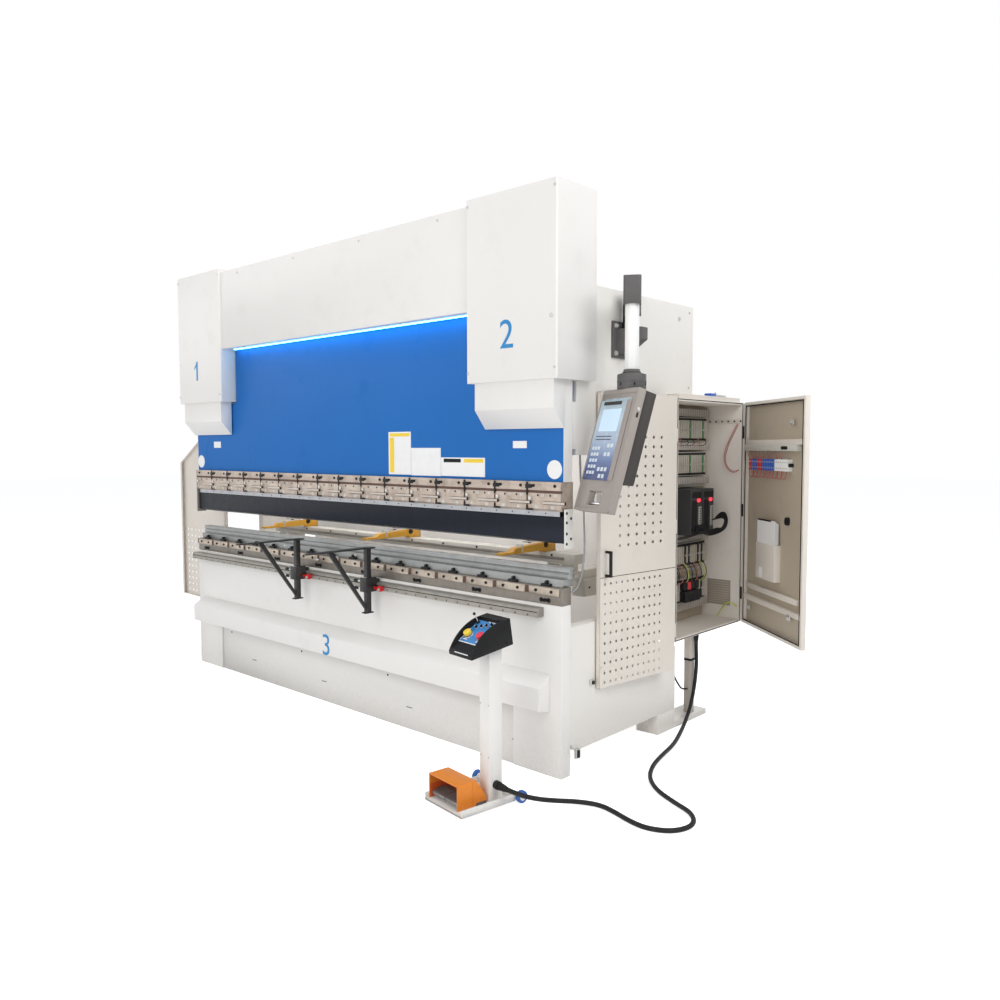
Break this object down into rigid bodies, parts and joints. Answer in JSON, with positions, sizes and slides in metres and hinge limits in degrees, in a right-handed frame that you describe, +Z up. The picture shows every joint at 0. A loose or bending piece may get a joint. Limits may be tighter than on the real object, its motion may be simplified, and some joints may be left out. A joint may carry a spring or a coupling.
{
  "type": "hydraulic press brake",
  "caption": "Hydraulic press brake with blue ram, clamped tooling, sheet supports, back gauge, side guards, electrical cabinet, pendant and foot pedals.",
  "frame": {"origin": "on the floor, below the middle of the ram's front face", "axes": "+X to the operator's right along the bed, +Y into the machine, +Z up"},
  "size_m": [4.6094, 2.1388, 2.621],
  "materials": {
    "off_white": "satin paint",
    "ram_blue": "gloss paint",
    "frame_white": "satin paint",
    "cabinet_beige": "fine textured paint",
    "clamp_steel": "ground",
    "tool_dark": "hardened and blued",
    "die_steel": "ground",
    "rail_grey": "anodised",
    "black_parts": "semi-gloss paint",
    "red_knob": "gloss",
    "gauge_yellow": "gloss paint",
    "gauge_grey": "satin paint",
    "duct_grey": "matte",
    "module_grey": "matte",
    "drive_black": "matte",
    "tube_white": "gloss paint",
    "elbow_grey": "painted casting",
    "panel_taupe": "textured paint",
    "panel_dark": "textured paint",
    "panel_glass": "printed film",
    "chrome_bar": "polished",
    "hood_orange": "gloss paint",
    "pedal_grey": "ribbed casting",
    "wheel_blue": "matte",
    "console_black": "fine texture",
    "button_yellow": "gloss",
    "button_red": "gloss",
    "lead_black": "matte",
    "lead_grey": "matte"
  },
  "bodies": {
    "frame": {"side_frame_left": "frame_white", "side_frame_right": "frame_white", "rear_housing": "off_white", "bed_plate": "off_white", "bed_lower_cover": "off_white", "belly_cover": "off_white", "front_rail": "rail_grey", "rear_feet": "off_white", "cylinder_covers": "off_white", "beam_cover": "off_white", "crowning_base": "die_steel", "die_clamp_plates": "clamp_steel", "die_holder": "die_steel", "v_die": "die_steel", "gauge_rails": "gauge_grey", "guard_hinges": "cabinet_beige", "cabinet_shell": "cabinet_beige", "cabinet_hinges": "black_parts", "cable_ducts": "duct_grey", "control_modules": "module_grey", "servo_drives": "drive_black", "pendant_bracket": "elbow_grey", "pedestal_stand": "off_white", "console_housing": "console_black", "pedal_hood": "hood_orange", "pedestal_lead": "lead_black", "sensor_lead": "lead_black", "encoder_lead": "lead_grey", "lead_glands": "black_parts"},
    "ram": {"ram_plate": "ram_blue", "tool_clamps": "clamp_steel", "clamp_levers": "die_steel", "punch": "tool_dark"},
    "support_left": {"support_arm_left": "black_parts", "support_knob_left": "red_knob"},
    "support_right": {"support_arm_right": "black_parts", "support_knob_right": "red_knob"},
    "back_gauge": {"gauge_beam": "gauge_grey", "gauge_fingers": "gauge_yellow"},
    "guard_left": {"guard_door_left": "cabinet_beige", "guard_handle_left": "black_parts"},
    "guard_right": {"guard_door_right": "cabinet_beige", "guard_handle_right": "black_parts"},
    "door": {"cabinet_door": "cabinet_beige"},
    "pendant_arm": {"pendant_tubes": "tube_white", "pendant_elbows": "elbow_grey"},
    "pendant_panel": {"pendant_collar": "elbow_grey", "panel_housing": "panel_taupe", "panel_rear_box": "panel_dark", "panel_glass": "panel_glass", "panel_hand_bar": "chrome_bar"},
    "button_left": {"push_button_left": "button_yellow"},
    "button_right": {"push_button_right": "button_red"},
    "pedal_left": {"pedal_left": "pedal_grey"},
    "pedal_right": {"pedal_right": "pedal_grey"},
    "wheel_left": {"wheel_left": "wheel_blue"},
    "wheel_right": {"wheel_right": "wheel_blue"}
  },
  "joints": [
    {"name": "ram_slide", "type": "slide", "parent": "frame", "child": "ram", "axis": [0, 0, 1], "range_m": [-0.1, 0]},
    {"name": "support_left_slide", "type": "slide", "parent": "frame", "child": "support_left", "axis": [1, 0, 0], "range_m": [-1.15, 0.2]},
    {"name": "support_right_slide", "type": "slide", "parent": "frame", "child": "support_right", "axis": [1, 0, 0], "range_m": [-0.2, 0.85]},
    {"name": "back_gauge_slide", "type": "slide", "parent": "frame", "child": "back_gauge", "axis": [0, 1, 0], "range_m": [0, 0.3]},
    {"name": "guard_left_hinge", "type": "hinge", "parent": "frame", "child": "guard_left", "pos_m": [-1.612, 0.215, 1.05], "axis": [0, 0, 1], "range_deg": [-78, 0]},
    {"name": "guard_right_hinge", "type": "hinge", "parent": "frame", "child": "guard_right", "pos_m": [1.686, 0.797, 1.05], "axis": [0, 0, 1], "range_deg": [0, 80]},
    {"name": "cabinet_door_hinge", "type": "hinge", "parent": "frame", "child": "door", "pos_m": [1.6995, 1.523, 1.1], "axis": [0, 0, 1], "range_deg": [-50, 60]},
    {"name": "pendant_swing", "type": "hinge", "parent": "frame", "child": "pendant_arm", "pos_m": [1.676, 0.416, 2.04], "axis": [0, 0, 1], "range_deg": [-4, 35]},
    {"name": "panel_swivel", "type": "hinge", "parent": "pendant_arm", "child": "pendant_panel", "pos_m": [1.85, 0.15, 1.822], "axis": [0, 0, 1], "range_deg": [-4, 56]},
    {"name": "button_left_push", "type": "slide", "parent": "frame", "child": "button_left", "axis": [-0.0767, -0.5458, 0.8344], "range_m": [-0.005, 0], "stiffness_N_per_m": 900, "springref_m": 0.004},
    {"name": "button_right_push", "type": "slide", "parent": "frame", "child": "button_right", "axis": [-0.0767, -0.5458, 0.8344], "range_m": [-0.005, 0], "stiffness_N_per_m": 900, "springref_m": 0.004},
    {"name": "pedal_left_press", "type": "hinge", "parent": "frame", "child": "pedal_left", "pos_m": [1.43398, -0.44402, 0.0283], "axis": [0.9903, -0.1392, 0], "range_deg": [0, 6], "stiffness_Nm_per_rad": 12, "springref_deg": -17.19},
    {"name": "pedal_right_press", "type": "hinge", "parent": "frame", "child": "pedal_right", "pos_m": [1.43398, -0.44402, 0.0283], "axis": [0.9903, -0.1392, 0], "range_deg": [0, 6], "stiffness_Nm_per_rad": 12, "springref_deg": -17.19},
    {"name": "wheel_left_spin", "type": "hinge", "parent": "frame", "child": "wheel_left", "pos_m": [1.33092, -0.272, 0.026], "axis": [0.9903, -0.1392, 0], "continuous": true},
    {"name": "wheel_right_spin", "type": "hinge", "parent": "frame", "child": "wheel_right", "pos_m": [1.62601, -0.31348, 0.026], "axis": [0.9903, -0.1392, 0], "continuous": true}
  ]
}
